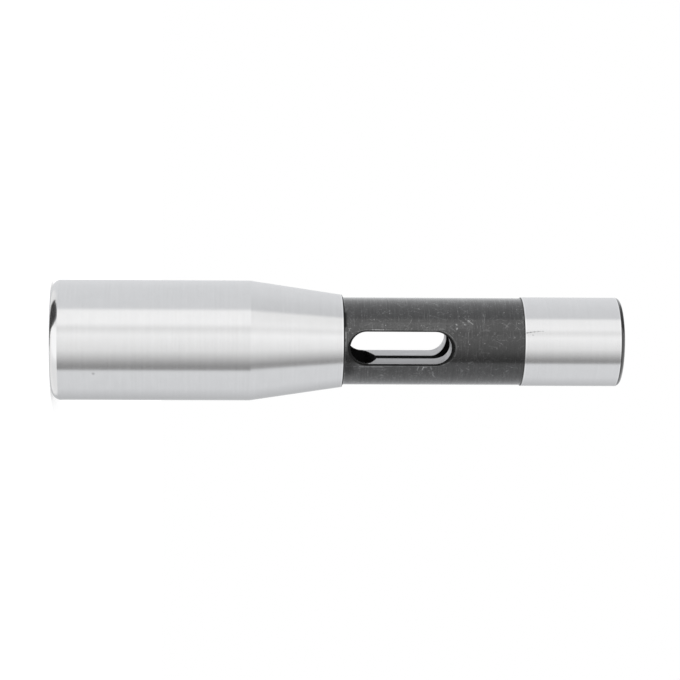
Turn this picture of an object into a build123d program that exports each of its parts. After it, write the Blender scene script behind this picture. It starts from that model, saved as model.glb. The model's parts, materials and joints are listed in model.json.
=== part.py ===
from build123d import *
import os
from math import cos, radians, sqrt, tan

# Taper sleeve: one turned and ground piece of steel that stands on its mouth.
# The origin is the middle of the mouth face, and +Z runs along the axis to the drawbar end.
# Lengths are in millimetres, angles in degrees.

# Shank, ground to slide in the milling spindle's bore
shank_diameter = 24.1
shank_length = 27.2
shank_end_radius = 1.15  # soft corner where the shank ends

# Neck, turned a little below the shank so that it clears the bore
neck_relief = 0.25  # step down from the shank on the radius, as a 45 degree ramp
neck_length = 48.43
neck_wall = 1.7  # metal left round the socket
neck_root_radius = 0.6  # fillet against the cone's shoulder

# Cone, which seats in the spindle's nose, and the shoulder where it ends
cone_angle = 16.85  # 16 degrees 51 minutes, both sides together
cone_edge_bevel = 0.08
shoulder_land = 0.03  # flat left between the bevel and the neck's fillet

# Tapered socket for the tool, open at the mouth
socket_taper = 1 / 19.922  # loss of diameter over length
ream_length = 72.2  # mouth face to where the taper runs out in the core drill's hole
socket_lead_in = 0.5
core_drill_past_slot = 5.5  # how far the core drill's hole runs past the slot's first end
drill_point_angle = 135

# Barrel round the socket
barrel_wall = 4.288  # at the mouth
barrel_length = 53.2  # mouth face to the start of the cone
mouth_bevel = 2.1  # along the axis
mouth_bevel_angle = 18  # between the bevel and the barrel
mouth_bevel_land = 0.25  # straight part of the bevel left before it rounds over to the mouth face

# Drift slot, right through the neck
slot_from_shoulder = 1.78
slot_length = 27.2
slot_width = 8.76
slot_edge_bevel = 0.27  # along the straight sides; it widens round the ends
slot_bevel_angle = 30  # between the bevel and the slot's wall

# Drawbar hole, open at the shank's end and running into the slot
thread_diameter = 11.11  # over the thread's outer edges, 7/16 inch
thread_height = 0.605  # what the thread stands in from there, on the radius
thread_length = 30.0
thread_lead_in = 0.7

# Keyway for the spindle's key, in line with one mouth of the slot
keyway_width = 4.06
keyway_depth = 2.6
keyway_past_shank = 3.8  # how far the cutter ran on into the neck

overrun = 1.0  # how far a cutter starts outside the metal

# Radii, from the shank inwards to the socket and then out to the barrel
shank_radius = shank_diameter / 2
neck_radius = shank_radius - neck_relief
cone_end_radius = neck_radius + neck_root_radius + shoulder_land + cone_edge_bevel
core_radius = neck_radius - neck_wall
socket_radius = core_radius + ream_length * socket_taper / 2
barrel_radius = socket_radius + barrel_wall
thread_radius = thread_diameter / 2
tap_drill_radius = thread_radius - thread_height

# Places along the axis, from the mouth face
cone_slope = tan(radians(cone_angle / 2))
cone_length = (barrel_radius - cone_end_radius) / cone_slope
shoulder = barrel_length + cone_length
shank_start = shoulder + neck_length
shank_end = shank_start + shank_length
slot_start = shoulder + slot_from_shoulder
slot_middle = slot_start + slot_length / 2
core_drill_depth = slot_start + core_drill_past_slot
thread_start = shank_end - thread_length


# A solid or cutter that is round about the axis, from half its section as (radius, height) points
def spun(outline, rounded_corners=()):
    section = make_face(Polyline(outline, close=True))
    for corner, radius in rounded_corners:
        section = fillet(section.vertices().sort_by_distance(corner)[0], radius)
    return revolve(Plane.XZ * section, Axis.Z)


# Turned and ground outside, still without holes
def blank():
    bevel_angle = radians(mouth_bevel_angle)
    mouth_corner = (barrel_radius - mouth_bevel * tan(bevel_angle), 0)
    bevel_side = mouth_bevel / cos(bevel_angle)
    half_turn = radians(90 - mouth_bevel_angle) / 2
    mouth_corner_radius = (bevel_side - mouth_bevel_land) / tan(half_turn)
    neck_root = (neck_radius, shoulder)
    shank_corner = (shank_radius, shank_end)
    outline = [
        (0, 0),
        mouth_corner,
        (barrel_radius, mouth_bevel),
        (barrel_radius, barrel_length),
        (cone_end_radius + cone_edge_bevel * cone_slope, shoulder - cone_edge_bevel),
        (cone_end_radius - cone_edge_bevel, shoulder),
        neck_root,
        (neck_radius, shank_start),
        (shank_radius, shank_start + neck_relief),
        shank_corner,
        (0, shank_end),
    ]
    rounded_corners = [
        (mouth_corner, mouth_corner_radius),
        (neck_root, neck_root_radius),
        (shank_corner, shank_end_radius),
    ]
    return spun(outline, rounded_corners)


# Core drill's hole with its pointed end, then the taper and the lead-in that open it from the mouth
def tool_socket():
    point_length = core_radius / tan(radians(drill_point_angle / 2))
    core_hole = [
        (0, -overrun),
        (core_radius, -overrun),
        (core_radius, core_drill_depth),
        (0, core_drill_depth + point_length),
    ]
    taper = [
        (0, -overrun),
        (socket_radius + overrun * socket_taper / 2, -overrun),
        (core_radius, ream_length),
        (0, ream_length),
    ]
    lead_in = [
        (0, -overrun),
        (socket_radius + socket_lead_in + overrun, -overrun),
        (0, socket_radius + socket_lead_in),
    ]
    return spun(core_hole) + spun(taper) + spun(lead_in)


# Tap drill's hole from the socket's pointed end, opened to the thread's outer edges near the shank end
def drawbar_hole():
    outline = [
        (0, core_drill_depth),
        (tap_drill_radius, core_drill_depth),
        (tap_drill_radius, thread_start - thread_height),
        (thread_radius, thread_start),
        (thread_radius, shank_end - thread_lead_in),
        (thread_radius + thread_lead_in + overrun, shank_end + overrun),
        (0, shank_end + overrun),
    ]
    return spun(outline)


# Outline of the slot, long with round ends, moved out on all sides by a margin
def slot_outline(margin=0):
    return Pos(0, slot_middle) * SlotOverall(slot_length + 2 * margin, slot_width + 2 * margin, rotation=90)


# Slot milled through along Y
def drift_slot():
    return extrude(Plane.XZ * slot_outline(), barrel_radius, both=True)


# Bevel cut round both mouths of the slot at one depth, so the neck's curve makes it widest at the ends
def slot_bevels():
    slope = tan(radians(slot_bevel_angle))
    side_edge = slot_width / 2 + slot_edge_bevel
    bevel_start = sqrt(neck_radius**2 - side_edge**2) - slot_edge_bevel / slope
    bottom = bevel_start - overrun
    top = neck_radius + overrun
    narrow = Plane.XZ.offset(bottom) * slot_outline((bottom - bevel_start) * slope)
    wide = Plane.XZ.offset(top) * slot_outline((top - bevel_start) * slope)
    cutter = loft([narrow, wide], ruled=True)
    return cutter + mirror(cutter, Plane.XZ)


# Key slot on the +Y side, open at the shank end and round where the cutter stopped
def keyway():
    cutter_radius = keyway_width / 2
    cutter_stop = shank_start - keyway_past_shank + cutter_radius
    run = shank_end + overrun - cutter_stop
    outline = Pos(0, cutter_stop + run / 2) * Rectangle(keyway_width, run)
    outline += Pos(0, cutter_stop) * Circle(cutter_radius)
    floor = Plane.XZ.offset(keyway_depth - shank_radius)
    return extrude(floor * outline, -keyway_depth - overrun)


sleeve = blank() - tool_socket() - drawbar_hole() - drift_slot() - slot_bevels() - keyway()

os.makedirs("parts", exist_ok=True)
export_step(sleeve, "parts/taper_sleeve.step")
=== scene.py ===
import json
import math

import bpy
from mathutils import Matrix, Vector


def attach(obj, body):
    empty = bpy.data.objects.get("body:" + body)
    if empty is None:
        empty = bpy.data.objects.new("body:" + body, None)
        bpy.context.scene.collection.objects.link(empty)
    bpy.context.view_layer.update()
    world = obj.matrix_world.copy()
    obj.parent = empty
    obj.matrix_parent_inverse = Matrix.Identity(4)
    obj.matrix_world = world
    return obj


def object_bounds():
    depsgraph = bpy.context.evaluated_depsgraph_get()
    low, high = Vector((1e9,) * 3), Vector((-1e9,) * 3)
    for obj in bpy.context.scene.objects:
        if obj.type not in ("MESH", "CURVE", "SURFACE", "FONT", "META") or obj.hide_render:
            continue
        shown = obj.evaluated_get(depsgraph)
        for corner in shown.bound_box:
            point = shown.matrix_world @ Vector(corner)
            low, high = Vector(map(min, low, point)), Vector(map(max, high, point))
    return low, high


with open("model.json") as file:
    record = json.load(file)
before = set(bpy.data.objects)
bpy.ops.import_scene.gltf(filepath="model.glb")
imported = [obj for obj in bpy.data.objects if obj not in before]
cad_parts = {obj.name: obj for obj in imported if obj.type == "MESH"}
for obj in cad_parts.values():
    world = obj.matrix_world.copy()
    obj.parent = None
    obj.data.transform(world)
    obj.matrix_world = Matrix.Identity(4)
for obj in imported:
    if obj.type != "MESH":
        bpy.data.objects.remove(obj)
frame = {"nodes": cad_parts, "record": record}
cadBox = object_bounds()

mm = 0.001
sleeve = frame["nodes"]["taper_sleeve"]
mounts = {mount["name"]: mount for mount in frame["record"]["mounts"]}
sleeveLength = cadBox[1].z / mm
print("frame loaded, sleeve length", round(sleeveLength, 1), "mm")


# Shader sums: a Wire is one output socket, and sums on it add nodes
class Wire:
    def __init__(self, tree, socket=None):
        self.tree = tree
        self.socket = socket

    def node(self, kind, settings=None, sockets=None, out=0):
        made = self.tree.nodes.new(kind)
        for name, value in (settings or {}).items():
            if name == "stops":
                fillRamp(made.color_ramp, value)
            else:
                setattr(made, name, value)
        for key, value in (sockets or {}).items():
            if isinstance(value, Wire):
                self.tree.links.new(value.socket, made.inputs[key])
            else:
                made.inputs[key].default_value = value
        return Wire(self.tree, made.outputs[out] if made.outputs else None)

    def maths(self, operation, *values):
        return self.node("ShaderNodeMath", {"operation": operation}, dict(enumerate(values)))

    def vector(self, operation, *values):
        return self.node("ShaderNodeVectorMath", {"operation": operation}, dict(enumerate(values)))

    def __add__(self, other):
        return self.maths("ADD", self, other)

    def __radd__(self, other):
        return self.maths("ADD", other, self)

    def __sub__(self, other):
        return self.maths("SUBTRACT", self, other)

    def __rsub__(self, other):
        return self.maths("SUBTRACT", other, self)

    def __mul__(self, other):
        return self.maths("MULTIPLY", self, other)

    def __rmul__(self, other):
        return self.maths("MULTIPLY", other, self)

    def __truediv__(self, other):
        return self.maths("DIVIDE", self, other)

    def __rtruediv__(self, other):
        return self.maths("DIVIDE", other, self)

    def __abs__(self):
        return self.maths("ABSOLUTE", self)

    def root(self):
        return self.maths("SQRT", self)

    def most(self, *others):
        top = self
        for other in others:
            top = self.maths("MAXIMUM", top, other)
        return top

    def least(self, other):
        return self.maths("MINIMUM", self, other)

    # masks from 0 to 1, with an edge this soft on either side
    def above(self, edge, soft=0.02):
        limits = {"Value": self, "From Min": edge - soft, "From Max": edge + soft}
        return self.node("ShaderNodeMapRange", {"interpolation_type": "SMOOTHSTEP"}, limits)

    def below(self, edge, soft=0.02):
        return 1 - self.above(edge, soft)

    def between(self, low, high, soft=0.02):
        return self.above(low, soft) * self.below(high, soft)

    # band beside a place: where it starts, where it ends and how soft its edges are
    def band(self, place, shape):
        start, end, soft = shape
        return self.between(place + start, place + end, soft)

    def blend(self, first, second):
        return first + (second - first) * self

    def tint(self, first, second):
        mixed = {0: self, 6: first, 7: second}  # sockets 6 and 7 take colours
        return self.node("ShaderNodeMix", {"data_type": "RGBA"}, mixed, out=2)

    def shader(self, first, second):
        return self.node("ShaderNodeMixShader", None, {0: self, 1: first, 2: second})

    def grey(self, cast=(1.0, 1.0, 1.0)):
        red, green, blue = cast
        return self.node("ShaderNodeCombineColor", None, {0: self * red, 1: self * green, 2: self * blue})

    def parts(self):
        made = self.node("ShaderNodeSeparateXYZ", None, {0: self}).socket.node
        return [Wire(self.tree, socket) for socket in made.outputs]

    def noise(self, stretch, detail):
        scaled = self.vector("MULTIPLY", self, stretch)
        return self.node("ShaderNodeTexNoise", None, {"Vector": scaled, "Scale": 1.0, "Detail": detail})

    # distance from a straight line between two points of an unrolled surface
    def toLine(self, other, start, end):
        across = self - start[0]
        along = other - start[1]
        reach = (end[0] - start[0], end[1] - start[1])
        share = (across * reach[0] + along * reach[1]) / (reach[0] ** 2 + reach[1] ** 2)
        share = share.most(0.0).least(1.0)
        across = across - share * reach[0]
        along = along - share * reach[1]
        return (across * across + along * along).root()


def fillRamp(ramp, stops):
    while len(ramp.elements) < len(stops):
        ramp.elements.new(1.0)
    for element, (place, colour) in zip(ramp.elements, stops):
        element.position = place
        element.color = (*colour, 1.0)


# A value that patterns move up and down from its middle, each by its own amount
def wander(middle, moves, patterns):
    total = middle
    for name, amount in moves.items():
        total = total + amount * (patterns[name] - 0.5)
    return total


def millimetres(start):
    metres = start.node("ShaderNodeTexCoord", out="Object")
    return metres.vector("MULTIPLY", metres, (1 / mm, 1 / mm, 1 / mm))


def newMaterial(name):
    material = bpy.data.materials.new(name)
    material.use_nodes = True
    material.node_tree.nodes.clear()
    return material, Wire(material.node_tree)


# One finish of steel, whose shade and roughness follow the patterns
def steelShader(start, finish, patterns, gain=1.0):
    shade = finish["shade"] * wander(1.0, finish["shadeMoves"], patterns) * gain
    sockets = dict(finish["fixed"])
    sockets["Base Color"] = shade.grey(finish["cast"])
    sockets["Roughness"] = wander(finish["rough"], finish["roughMoves"], patterns)
    if "coat" in finish:
        sockets["Coat Weight"] = wander(finish["coat"], finish["coatMoves"], patterns)
    return start.node("ShaderNodeBsdfPrincipled", None, sockets)


def newObject(name, content):
    made = bpy.data.objects.new(name, content)
    bpy.context.scene.collection.objects.link(made)
    return made


# Sleeve, in millimetres: steel ground bright outside, with a blackened neck, end and keyway
sleeveLook = {
    # finishes, with how far each pattern moves their values
    "ground": {
        "shade": 0.66,
        "cast": (1.0, 1.0, 1.004),
        "shadeMoves": {"rings": 0.05, "streaks": 0.04, "cloud": 0.05},
        "rough": 0.2,
        "roughMoves": {"rings": 0.05, "streaks": 0.03},
        "fixed": {"Metallic": 1.0, "Anisotropic": 0.75, "Anisotropic Rotation": 0.25},
    },
    "milled": {
        "shade": 0.49,
        "cast": (1.0, 0.995, 1.01),
        "shadeMoves": {"cutterLines": 1.2, "cloud": 0.2},
        "rough": 0.42,
        "roughMoves": {"cutterLines": 0.15},
        "fixed": {"Metallic": 1.0},
    },
    "black": {
        "shade": 0.005,
        "cast": (1.0, 1.0, 1.0),
        "shadeMoves": {"rings": 0.5, "grit": 1.2},
        "rough": 0.25,
        "roughMoves": {"streaks": 0.12, "grit": 0.08},
        "coat": 0.88,
        "coatMoves": {"streaks": 0.9, "cloud": 0.3, "grit": 0.6},
        "fixed": {"Coat Roughness": 0.12, "Anisotropic": 0.75, "Anisotropic Rotation": 0.25},
    },
    # painted shade: near-black, barely reflecting steel for the bore beyond the reamed taper, the slot's
    # bevel and thin wall, and the lines at the shoulder's root and before the shank
    "paintedShade": {
        "shade": 0.012,
        "cast": (1.0, 1.0, 1.0),
        "shadeMoves": {"cloud": 0.67},
        "rough": 0.6,
        "roughMoves": {},
        "fixed": {"Specular IOR Level": 0.04},
    },
    # patterns: lines a millimetre along x, y and z, and detail
    "turnedPatterns": {
        "rings": ((0.03, 0.03, 2.2), 3.0),
        "streaks": ((0.16, 0.16, 3.4), 3.0),
    },
    "patterns": {
        "cutterLines": ((0.9, 0.9, 0.05), 3.0),
        "cloud": ((0.3, 0.3, 0.3), 3.0),
        "grit": ((2.2, 2.2, 2.2), 3.0),
        "curls": ((0.55, 0.55, 0.55), 2.5),
    },
    # where the finishes change, with bands as start, end and softness
    "shoulder": 78.11,
    "neckRadius": 11.8,
    "reamLength": 72.2,
    "paintedWallShadeEnd": (84.8, 0.4),  # painted shade darkens the slot's wall up to here
    "endRadius": 1.15,
    "endOverlap": 0.06,  # the ground shank runs this far on to its round corner
    "keywayEnd": 122.7,
    "keywayWidth": 4.06,
    "keywaySlack": 0.05,
    "seam": 0.03,  # the neck's black starts and stops this far before its corners
    "facetSlack": 0.1,  # round faces are faceted, so a radius is tested this loosely
    "rootPaintedShade": (-0.14, 0.2, 0.07),  # painted shade: a dark line round the shoulder's root
    "rampPaintedShade": (-0.3, 0.0, 0.06),  # and a weaker one before the shank
    "rampStrength": 0.6,
    "shoulderRim": (-0.5, 0.0, 0.06),  # painted highlight: brighter steel along the edges, where their small rounds would catch the light
    "shankRim": (0.0, 0.35, 0.06),
    "endRim": (-0.3, 0.0, 0.06),
    "rimHighlightGain": 0.12,
    # drift slot, with bands out from its bevel
    "slotStart": 79.89,
    "slotLength": 27.2,
    "slotWidth": 8.76,
    "slotBevel": 0.27,
    "slotBevelAngle": 30,
    "slotReach": 2.0,  # nothing of the slot's finish lies further from its wall
    "slotRounds": (1.6, 1.0),  # how far round its ends the bevel looks wider and brighter
    "wallSlack": 0.07,
    "bevelBand": (-0.08, 0.2, 0.04),
    "bevelInset": 0.12,
    "bevelLit": (0.65, 0.35),  # painted shade on the bevel: how far below the neck's surface light still reaches it, and how softly
    # painted shade on the bevel's outer part, and how much less of it there is round the slot's ends
    "bevelRise": 0.3,
    "bevelDark": 0.6,
    "bevelGlow": 0.25,
    "edgeBand": (0.26, 0.46, 0.06),
    "edgeStart": (3.0, 1.0),  # along the slot
    "edgeCloud": (0.42, 0.2),
    "edgeStrength": 0.24,
    # small wear on the neck, where a pattern passes these values
    "curlLine": 0.008,
    "curlCloud": (0.52, 0.1),
    "ringLine": (0.62, 0.01),
    "ringCloud": (0.45, 0.08),
    "scuffStrength": 0.3,
    "speckScale": 0.5,
    "speckSize": (0.06, 0.03),
    "speckStrength": 0.45,
    "bareGrit": (0.42, 0.16),
    # single marks: both ends in degrees round the axis and millimetres up, half width and strength
    "barrelNicks": [((23.3, 11.6), (23.5, 11.7), 0.36, 0.24)],
    "shankNicks": [
        ((-21.4, 127.1), (-22.9, 129.3), 0.11, 0.6),
        ((-22.9, 129.3), (-23.7, 131.6), 0.06, 0.35),
        ((-18.5, 128.7), (-18.4, 128.8), 0.13, 0.3),
    ],
    "neckScratchesAndPaintedHighlight": [
        ((-24.9, 85.6), (-24.8, 88.7), 0.12, 0.5),
        ((25.7, 82.4), (25.8, 88.7), 0.13, 0.32),
        ((25.7, 98.2), (30.8, 97.95), 0.14, 0.3),
        ((25.7, 99.6), (30.6, 99.25), 0.16, 0.42),
        ((26.6, 99.7), (26.6, 100.4), 0.14, 0.32),
        ((26.2, 101.5), (29.6, 101.8), 0.14, 0.3),
        ((34.0, 102.15), (40.2, 102.3), 0.15, 0.24),
        ((40.2, 102.3), (45.9, 102.95), 0.18, 0.22),
        ((-26.2, 103.7), (-26.0, 105.1), 0.2, 0.14),
        ((-46.6, 100.8), (-38.8, 105.6), 0.1, 0.1),
        ((-43.4, 110.2), (-38.1, 111.6), 0.1, 0.16),
        ((-38.3, 111.5), (-36.9, 111.75), 0.16, 0.4),
        ((-36.9, 111.75), (-33.2, 112.65), 0.14, 0.28),
        ((-32.6, 110.4), (-31.9, 110.75), 0.18, 0.3),
        ((-32.7, 108.2), (-31.8, 108.4), 0.18, 0.34),
        ((-27.3, 108.4), (-26.2, 108.3), 0.2, 0.36),
        ((-24.4, 115.3), (-24.2, 117.4), 0.1, 0.1),
        ((-34.4, 120.9), (-29.5, 122.2), 0.12, 0.14),
        ((-35.2, 122.5), (-28.1, 121.4), 0.12, 0.14),
        ((-31.0, 83.0), (-31.0, 112.0), 0.9, 0.03),
        # painted highlight: a light line just beyond the shoulder's root
        ((-21.0, 78.6), (3.0, 78.6), 0.24, 0.2),
    ],
    "markRagged": 0.5,  # how far grit frays a mark's sides
    "markSoft": 0.12,
    # painted shade: darker patches by the shoulder and long darker bands along the neck
    "neckPaintedShade": [
        ((4.0, 79.0), (30.0, 79.4), 2.0, 0.6),
        ((-30.0, 78.4), (-48.0, 78.4), 0.5, 0.95),
        ((8.0, 108.0), (8.0, 126.0), 4.0, 0.2),
        ((40.0, 84.0), (40.0, 126.0), 3.0, 0.16),
    ],
}


# Masks of the drift slot's wall, of the bevel round its mouths with painted shade on its outer part, and of
# the rubbed edge outside that
def slotZones(look, x, y, z):
    halfWidth = look["slotWidth"] / 2
    straight = look["slotLength"] / 2 - halfWidth
    middle = look["slotStart"] + look["slotLength"] / 2
    slope = math.tan(math.radians(look["slotBevelAngle"]))
    sideEdge = halfWidth + look["slotBevel"]
    bevelStart = math.sqrt(look["neckRadius"] ** 2 - sideEdge**2) - look["slotBevel"] / slope

    outward = abs(y)
    along = (abs(z - middle) - straight).most(0.0)
    fromWall = (x * x + along * along).root() - halfWidth
    fromBevel = fromWall - (outward - bevelStart) * slope
    near = fromWall.below(look["slotReach"])
    ends = along.above(*look["slotRounds"])
    bevel = (fromBevel + look["bevelInset"] * ends).band(0.0, look["bevelBand"])
    bevel = bevel * outward.above(bevelStart) * near
    # painted shade on the bevel, lighter round the slot's ends
    depth, soft = look["bevelLit"]
    lit = (outward + look["bevelRise"] * ends).above(look["neckRadius"] - depth, soft)
    edgeStart, edgeSoft = look["edgeStart"]
    edge = fromBevel.band(0.0, look["edgeBand"]) * z.above(look["slotStart"] + edgeStart, edgeSoft)
    return {
        "wall": abs(fromWall).below(look["wallSlack"]) * outward.below(bevelStart) * near,
        "bevel": bevel,
        "bevelPaintedShade": lit.blend(1.0, look["bevelDark"] - look["bevelGlow"] * ends) * bevel,
        "edge": edge * near,
    }


# Where each finish lies
def finishZones(look, x, y, z, radius):
    shank = mounts["spindle_shank"]
    shankStart = shank["pos_m"][2] / mm - shank["dims"]["length_mm"] / 2
    cornerStart = sleeveLength - look["endRadius"] + look["endOverlap"]
    keywayFloor = mounts["keyway"]["pos_m"][1] / mm
    keywaySide = look["keywayWidth"] / 2 + look["keywaySlack"]
    shoulder = look["shoulder"]
    slot = slotZones(look, x, y, z)

    onNeck = radius.above(look["neckRadius"] - look["facetSlack"])
    neck = z.between(shoulder - look["seam"], shankStart - look["seam"]) * onNeck
    shankEnd = z.above(cornerStart)
    keyway = y.above(keywayFloor - look["keywaySlack"]) * abs(x).below(keywaySide)
    keyway = keyway * z.above(look["keywayEnd"])
    inside = radius.below(look["neckRadius"] - 2 * look["facetSlack"]) * z.above(look["reamLength"])
    inside = inside * (1 - slot["wall"]) * (1 - shankEnd) * (1 - keyway)
    # painted shade on the slot's thin wall by the socket
    thinWallPaintedShade = slot["wall"] * z.below(*look["paintedWallShadeEnd"])
    # painted shade: dark lines round the shoulder's root and on the ramp before the shank
    ramp = look["rampStrength"] * z.band(shankStart, look["rampPaintedShade"])
    corners = z.band(shoulder, look["rootPaintedShade"]).most(ramp) * onNeck
    # painted highlight: brighter steel along the ground edges
    paintedRimHighlight = z.band(shoulder, look["shoulderRim"])
    paintedRimHighlight = paintedRimHighlight.most(z.band(shankStart, look["shankRim"]), z.band(cornerStart, look["endRim"]))
    return {
        "black": neck.most(shankEnd, keyway, slot["bevel"]),
        # painted shade: the bore, the bevel's outer part, the thin wall and the dark lines at the shoulder
        # and ramp
        "paintedShade": inside.most(slot["bevelPaintedShade"], thinWallPaintedShade, corners),
        "milled": slot["wall"],
        "neck": neck * (1 - slot["bevel"]),
        "edge": slot["edge"] * neck,
        "paintedRimHighlight": paintedRimHighlight * radius.above(look["neckRadius"] + look["facetSlack"]),
    }


# Single marks: dark nicks in the ground faces, scratches that bare the neck's steel with one painted
# highlight line among them, and patches of painted shade on the neck
def wearMarks(look, around, z, grit):
    radii = {
        "barrelNicks": cadBox[1].x / mm,
        "shankNicks": mounts["spindle_shank"]["dims"]["r_mm"],
        "neckScratchesAndPaintedHighlight": look["neckRadius"],
        "neckPaintedShade": look["neckRadius"],
    }
    marks = {}
    for name, radius in radii.items():
        arc = around * radius
        total = 0.0
        for start, end, width, strength in look[name]:
            ends = [(math.radians(turn) * radius, height) for turn, height in (start, end)]
            line = arc.toLine(z, *ends)
            # patches of painted shade, which darken the neck
            if name == "neckPaintedShade":
                total = (line.below(width, width) * strength).most(total)
            else:
                ragged = line + look["markRagged"] * (grit - 0.5)
                total = ragged.below(width, look["markSoft"]) * strength + total
        marks[name] = total
    return marks


def sleeveFinish(look):
    material, start = newMaterial("sleeveSteel")
    spot = millimetres(start)
    x, y, z = spot.parts()
    radius = (x * x + y * y).root()
    around = x.maths("ARCTAN2", x, 0 - y)
    zones = finishZones(look, x, y, z, radius)

    # what the lathe, the grinder and the slot's cutter left, and what use added
    lathe = start.node("ShaderNodeCombineXYZ", None, {0: x, 1: y, 2: z + radius})
    patterns = {name: lathe.noise(*shape) for name, shape in look["turnedPatterns"].items()}
    patterns.update({name: spot.noise(*shape) for name, shape in look["patterns"].items()})
    cloud = patterns["cloud"]
    grit = patterns["grit"]
    cells = start.node("ShaderNodeTexVoronoi", None, {"Vector": spot, "Scale": look["speckScale"]})
    marks = wearMarks(look, around, z, grit)

    nicks = marks["barrelNicks"] + marks["shankNicks"]
    # dark nicks, and painted highlight along the edges
    nicksAndPaintedHighlight = (1 - nicks) * (1 + look["rimHighlightGain"] * zones["paintedRimHighlight"])
    ground = steelShader(start, look["ground"], patterns, nicksAndPaintedHighlight)
    milled = steelShader(start, look["milled"], patterns)
    black = steelShader(start, look["black"], patterns)
    # painted shade: near-black steel where hollows and edges stay dark
    paintedShade = steelShader(start, look["paintedShade"], patterns)

    # bare steel where the black is worn off: scratches, scuffs, specks and the slot's edge, and a painted
    # highlight line just beyond the shoulder's root
    curled = abs(patterns["curls"] - 0.5).below(look["curlLine"], look["curlLine"])
    level, width = look["ringLine"]
    ringed = abs(patterns["streaks"] - level).below(width, width)
    scuffs = (curled * cloud.above(*look["curlCloud"])).most(ringed * cloud.below(*look["ringCloud"]))
    bareAndPaintedHighlight = marks["neckScratchesAndPaintedHighlight"].most(
        look["scuffStrength"] * scuffs,
        look["speckStrength"] * cells.below(*look["speckSize"]),
        look["edgeStrength"] * zones["edge"] * cloud.above(*look["edgeCloud"]),
    )
    bareAndPaintedHighlight = bareAndPaintedHighlight * zones["neck"] * grit.above(*look["bareGrit"])
    shader = zones["milled"].shader(ground, milled)
    shader = (zones["black"] * (1 - bareAndPaintedHighlight)).shader(shader, black)
    # painted shade: the dark hollows and edges, and the darker patches on the neck
    shader = zones["paintedShade"].most(marks["neckPaintedShade"] * zones["neck"]).shader(shader, paintedShade)
    start.node("ShaderNodeOutputMaterial", None, {"Surface": shader})
    return material


sleeve.data.materials.clear()
sleeve.data.materials.append(sleeveFinish(sleeveLook))
print("sleeve finished")


# Drawbar's thread, in millimetres: a ridge wound along the wall of the hole
threadLook = {
    "pitch": 1.27,
    "height": 0.6,
    "footWidth": 1.1,
    "crestWidth": 0.32,
    "sink": 0.03,
    "stepsPerTurn": 48,
    "runOut": 0.02,  # share of the length over which the tap ran in and out
    "sharp": 0.5,  # edges that turn by more than this, in radians, stay crisp
    "steel": {
        "shade": 0.1,
        "cast": (1.0, 0.98, 0.95),
        "shadeMoves": {"cloud": 0.5, "grit": 0.6},
        "rough": 0.38,
        "roughMoves": {"grit": 0.2},
        "fixed": {"Metallic": 0.9},
    },
    "patterns": {
        "cloud": ((0.6, 0.6, 0.6), 3.0),
        "grit": ((3.0, 3.0, 6.0), 2.0),
    },
}


def threadFinish(look):
    material, start = newMaterial("threadSteel")
    spot = millimetres(start)
    patterns = {name: spot.noise(*shape) for name, shape in look["patterns"].items()}
    steel = steelShader(start, look["steel"], patterns)
    start.node("ShaderNodeOutputMaterial", None, {"Surface": steel})
    return material


# Tree of the ridge, which has an input for each of the named sizes
def ridgeTree(look, names):
    tree = bpy.data.node_groups.new("threadRidge", "GeometryNodeTree")
    tree.interface.new_socket("Ridge", in_out="OUTPUT", socket_type="NodeSocketGeometry")
    for name in names:
        tree.interface.new_socket(name, in_out="INPUT", socket_type="NodeSocketFloat")
    start = Wire(tree)
    inputs = start.node("NodeGroupInput").socket.node
    size = {name: Wire(tree, inputs.outputs[name]) for name in names}

    helix = start.node("GeometryNodeCurveSpiral", None, {
        "Resolution": look["stepsPerTurn"],
        "Rotations": size["Turns"],
        "Start Radius": size["Radius"],
        "End Radius": size["Radius"],
        "Height": size["Length"],
        "Reverse": True,  # right-handed
    })
    helix = start.node("GeometryNodeSetCurveNormal", {"mode": "Z_UP"}, {0: helix})
    outline = [
        (size["Sink"], size["Foot"]),
        (0 - size["Height"], size["Crest"]),
        (0 - size["Height"], 0 - size["Crest"]),
        (size["Sink"], 0 - size["Foot"]),
    ]
    points = {}
    for number, (depth, half) in enumerate(outline, 1):
        points[f"Point {number}"] = start.node("ShaderNodeCombineXYZ", None, {0: depth, 1: half})
    profile = start.node("GeometryNodeCurvePrimitiveQuadrilateral", {"mode": "POINTS"}, points)

    # the ridge shrinks into the wall where the tap ran in and out
    place = start.node("GeometryNodeSplineParameter", out="Factor")
    swell = (place / size["Run Out"]).least((1 - place) / size["Run Out"]).least(1.0)
    ridge = start.node("GeometryNodeCurveToMesh", None, {
        "Curve": helix,
        "Profile Curve": profile,
        "Scale": swell,
        "Fill Caps": True,
    })
    sharp = start.node("GeometryNodeInputMeshEdgeAngle").above(look["sharp"])
    crisp = {"Geometry": ridge, "Selection": sharp, "Shade Smooth": False}
    ridge = start.node("GeometryNodeSetShadeSmooth", {"domain": "EDGE"}, crisp)
    base = start.node("ShaderNodeCombineXYZ", None, {2: size["Base"]})
    ridge = start.node("GeometryNodeTransform", None, {"Geometry": ridge, "Translation": base})
    ridge = start.node("GeometryNodeRealizeInstances", None, {0: ridge})
    ridge = start.node("GeometryNodeSetMaterial", None, {"Geometry": ridge, "Material": threadFinish(look)})
    start.node("NodeGroupOutput", None, {0: ridge})
    return tree


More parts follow.
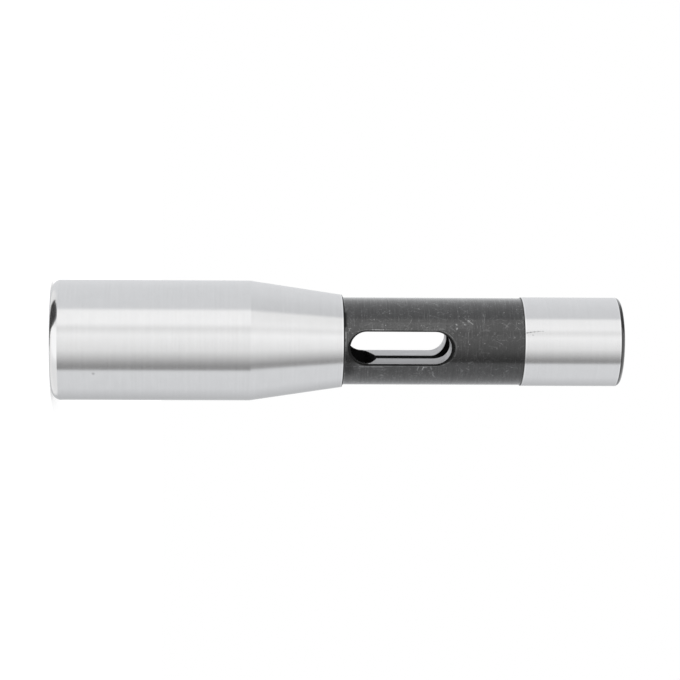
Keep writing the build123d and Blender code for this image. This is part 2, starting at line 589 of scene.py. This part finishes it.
def threadRidge(look):
    hole = mounts["drawbar_thread"]
    length = hole["dims"]["length_mm"] - look["footWidth"]
    sizes = {
        "Radius": hole["dims"]["r_mm"] * mm,
        "Length": length * mm,
        "Turns": length / look["pitch"],
        "Base": hole["pos_m"][2] - length * mm / 2,
        "Height": look["height"] * mm,
        "Foot": look["footWidth"] * mm / 2,
        "Crest": look["crestWidth"] * mm / 2,
        "Sink": look["sink"] * mm,
        "Run Out": look["runOut"],
    }
    grower = newObject("threadGrower", bpy.data.meshes.new("threadGrower"))
    modifier = grower.modifiers.new("threadRidge", "NODES")
    modifier.node_group = ridgeTree(look, list(sizes))
    for socket in modifier.node_group.interface.items_tree:
        if socket.in_out == "INPUT":
            modifier[socket.identifier] = sizes[socket.name]
    grown = grower.evaluated_get(bpy.context.evaluated_depsgraph_get())
    mesh = bpy.data.meshes.new_from_object(grown)
    bpy.data.objects.remove(grower)
    thread = newObject("drawbarThread", mesh)
    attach(thread, "root")
    return thread


thread = threadRidge(threadLook)
print("thread wound, faces:", len(thread.data.polygons))


# Camera from a fit to the photograph: the sleeve lies across the picture, mouth at the left
cameraLook = {
    "azimuth": -10.2,
    "elevation": -3.39,
    "roll": 90.242,
    "distance": 0.6557,
    "aim": (-0.00022, 0.00004, 0.0777),
    "lens": 127.97,
    "nearest": 0.01,
}


# Level directions in the photograph: towards the camera, and up the picture
def pictureAxes():
    azimuth = math.radians(cameraLook["azimuth"])
    ahead = Vector((math.sin(azimuth), -math.cos(azimuth), 0))
    lift = Vector((-math.cos(azimuth), -math.sin(azimuth), 0))
    return ahead, lift


def photoCamera(look):
    ahead, lift = pictureAxes()
    elevation = math.radians(look["elevation"])
    back = ahead * math.cos(elevation) + Vector((0, 0, math.sin(elevation)))
    upright = Matrix((-lift, lift.cross(back), back)).transposed()
    turned = upright @ Matrix.Rotation(math.radians(look["roll"]), 3, "Z")
    place = Vector(look["aim"]) + back * look["distance"]
    lens = bpy.data.cameras.new("photoCamera")
    lens.lens = look["lens"]
    lens.clip_start = look["nearest"]
    camera = newObject("photoCamera", lens)
    camera.matrix_world = Matrix.Translation(place) @ turned.to_4x4()
    bpy.context.scene.camera = camera


# Light tent, plain white. Mirror rays see its panels instead: degrees up the picture from the camera, level
tentLook = {
    "coolFrom": 60,  # panels beyond this angle are a little blue
    "cool": (0.989, 1.0, 1.02),
    "bands": [
        (-180, 0.4),
        (-171, 0.62),
        (-151, 0.62),
        (-129, 0.76),
        (-107, 0.91),
        (-62, 0.95),
        (-58, 0.32),
        (-51, 0.35),
        (-44, 0.48),
        (-31, 0.78),
        (-20, 1.04),
        (0, 1.18),
        (9, 1.25),
        (22, 1.02),
        (32, 1.32),
        (58, 1.32),
        (63, 0.94),
        (140, 0.95),
        (175, 0.82),
        (180, 0.4),
    ],
    "farBands": [  # towards the shank's end
        (-180, 0.4),
        (-171, 0.66),
        (-151, 0.66),
        (-129, 0.8),
        (-107, 0.94),
        (-62, 0.94),
        (-56, 0.42),
        (-50, 0.37),
        (-44, 0.52),
        (-31, 0.84),
        (-20, 1.1),
        (0, 1.27),
        (9, 1.34),
        (22, 1.12),
        (32, 1.24),
        (58, 1.2),
        (63, 0.84),
        (90, 0.9),
        (115, 0.98),
        (140, 0.97),
        (175, 0.82),
        (180, 0.4),
    ],
    # places and their softness, along the axis from -1 below the mouth to 1 beyond the shank
    "farStart": (0.15, 0.15),
    "endStart": (0.52, 0.06),
    "lowReach": 0.2,  # the mouth's end comes nearer low in the picture
    "lowStart": (-0.25, 0.25),
    # edges across the ends: slant, height and softness, or a place and its softness
    "gapEdges": [(0.3, 0.21, 0.04), (0.68, 0.16, 0.06)],
    "glowBottom": (-0.45, -0.3, 0.15),
    "glowTop": (0.35, 0.15),
    "glowBack": (-0.3, 0.2),
    "mouthEnd": 1.4,
    "mouthSides": 1.1,
    "shankEnd": 1.2,
    "shankDark": 0.3,
}


def lightTent(look):
    world = bpy.data.worlds.new("lightTent")
    bpy.context.scene.world = world
    world.use_nodes = True
    world.node_tree.nodes.clear()
    world.cycles.sampling_method = "NONE"  # mirror and other rays see different light
    start = Wire(world.node_tree)
    x, y, z = start.node("ShaderNodeTexCoord", out="Generated").parts()
    ahead, lift = [x * axis.x + y * axis.y for axis in pictureAxes()]
    turn = lift.maths("ARCTAN2", lift, ahead) / math.radians(360) + 0.5
    panels = []
    for name in ("bands", "farBands"):
        stops = []
        for degrees, level in look[name]:
            cast = look["cool"] if abs(degrees) >= look["coolFrom"] else (1, 1, 1)
            stops.append((degrees / 360 + 0.5, [level * part for part in cast]))
        panels.append(start.node("ShaderNodeValToRGB", {"stops": stops}, {0: turn}))
    panels = z.above(*look["farStart"]).tint(*panels)

    def over(edge):
        slant, height, soft = edge
        return (lift - slant * ahead).above(height, soft)

    # ends of the tent: brightest in front of the mouth, with a dark gap above at the shank's end
    dark = over(look["gapEdges"][0]) * over(look["gapEdges"][1])
    bright = over(look["glowBottom"]) * lift.below(*look["glowTop"]) * ahead.above(*look["glowBack"])
    mouthEnd = bright.blend(look["mouthSides"], look["mouthEnd"])
    shankEnd = dark.blend(look["shankEnd"], look["shankDark"])
    ends = z.above(0.0).blend(mouthEnd, shankEnd)
    reach = abs(z) + look["lowReach"] * lift.below(*look["lowStart"]) * z.below(0.0)
    mirrored = reach.above(*look["endStart"]).tint(panels, ends.grey())
    glossy = start.node("ShaderNodeLightPath", out="Is Glossy Ray")
    seen = glossy.tint((1.0, 1.0, 1.0, 1.0), mirrored)
    shader = start.node("ShaderNodeBackground", None, {"Color": seen, "Strength": 1.0})
    start.node("ShaderNodeOutputWorld", None, {"Surface": shader})


# Pale paper floor, lifted a little for the camera alone
floorLook = {"size": 4.0, "shade": 0.85, "lift": 0.2, "grain": (60, 60, 60), "grainMove": 0.01}


def paleFloor(look):
    half = look["size"] / 2
    mesh = bpy.data.meshes.new("floor")
    corners = [(-half, -half, 0), (half, -half, 0), (half, half, 0), (-half, half, 0)]
    mesh.from_pydata(corners, [], [(0, 1, 2, 3)])
    floor = newObject("floor", mesh)
    material, start = newMaterial("floorPaper")
    grain = start.node("ShaderNodeTexCoord", out="Object").noise(look["grain"], 2.0)
    shade = look["shade"] * (1 + look["grainMove"] * (grain - 0.5))
    paper = start.node("ShaderNodeBsdfDiffuse", None, {"Color": shade.grey()})
    camera = start.node("ShaderNodeLightPath", out="Is Camera Ray")
    glow = start.node("ShaderNodeEmission", None, {"Strength": camera * look["lift"]})
    both = start.node("ShaderNodeAddShader", None, {0: paper, 1: glow})
    start.node("ShaderNodeOutputMaterial", None, {"Surface": both})
    mesh.materials.append(material)
    floor.visible_glossy = False  # mirror rays see the white tent instead


# Dark gap below the mouth that only mirror rays see, in millimetres ahead of the axis and up the picture
gapLook = {
    "below": 5.0,
    "shade": 0.07,
    "corners": [
        (22.5, 14.0),
        (18.0, 7.0),
        (11.0, 1.5),
        (9.0, -1.5),
        (5.0, -3.5),
        (4.5, 5.0),
        (8.0, 12.5),
        (10.5, 18.5),
        (22.5, 18.5),
    ],
}


def darkGap(look):
    ahead, lift = pictureAxes()
    down = Vector((0, 0, -look["below"]))
    corners = [(ahead * front + lift * up + down) * mm for front, up in look["corners"]]
    mesh = bpy.data.meshes.new("darkGap")
    mesh.from_pydata(corners, [], [range(len(corners))])
    gap = newObject("darkGap", mesh)
    material, start = newMaterial("gapShade")
    shade = start.node("ShaderNodeEmission", None, {"Strength": look["shade"]})
    start.node("ShaderNodeOutputMaterial", None, {"Surface": shade})
    mesh.materials.append(material)
    gap.visible_camera = False
    gap.visible_diffuse = False
    gap.visible_shadow = False
    gap.visible_transmission = False


lampLook = {"place": (-0.5, -0.7, 0.9), "aim": (0, 0, 0.08), "size": 0.9, "watts": 6.0}


def softLamp(look):
    lamp = bpy.data.lights.new("softLamp", "AREA")
    lamp.shape = "DISK"
    lamp.size = look["size"]
    lamp.energy = look["watts"]
    holder = newObject("softLamp", lamp)
    holder.location = look["place"]
    aim = Vector(look["aim"]) - holder.location
    holder.rotation_euler = aim.to_track_quat("-Z", "Y").to_euler()
    holder.visible_glossy = False


lightTent(tentLook)
paleFloor(floorLook)
darkGap(gapLook)
softLamp(lampLook)
photoCamera(cameraLook)
bpy.context.scene.view_settings.view_transform = "Standard"
print("stage set")
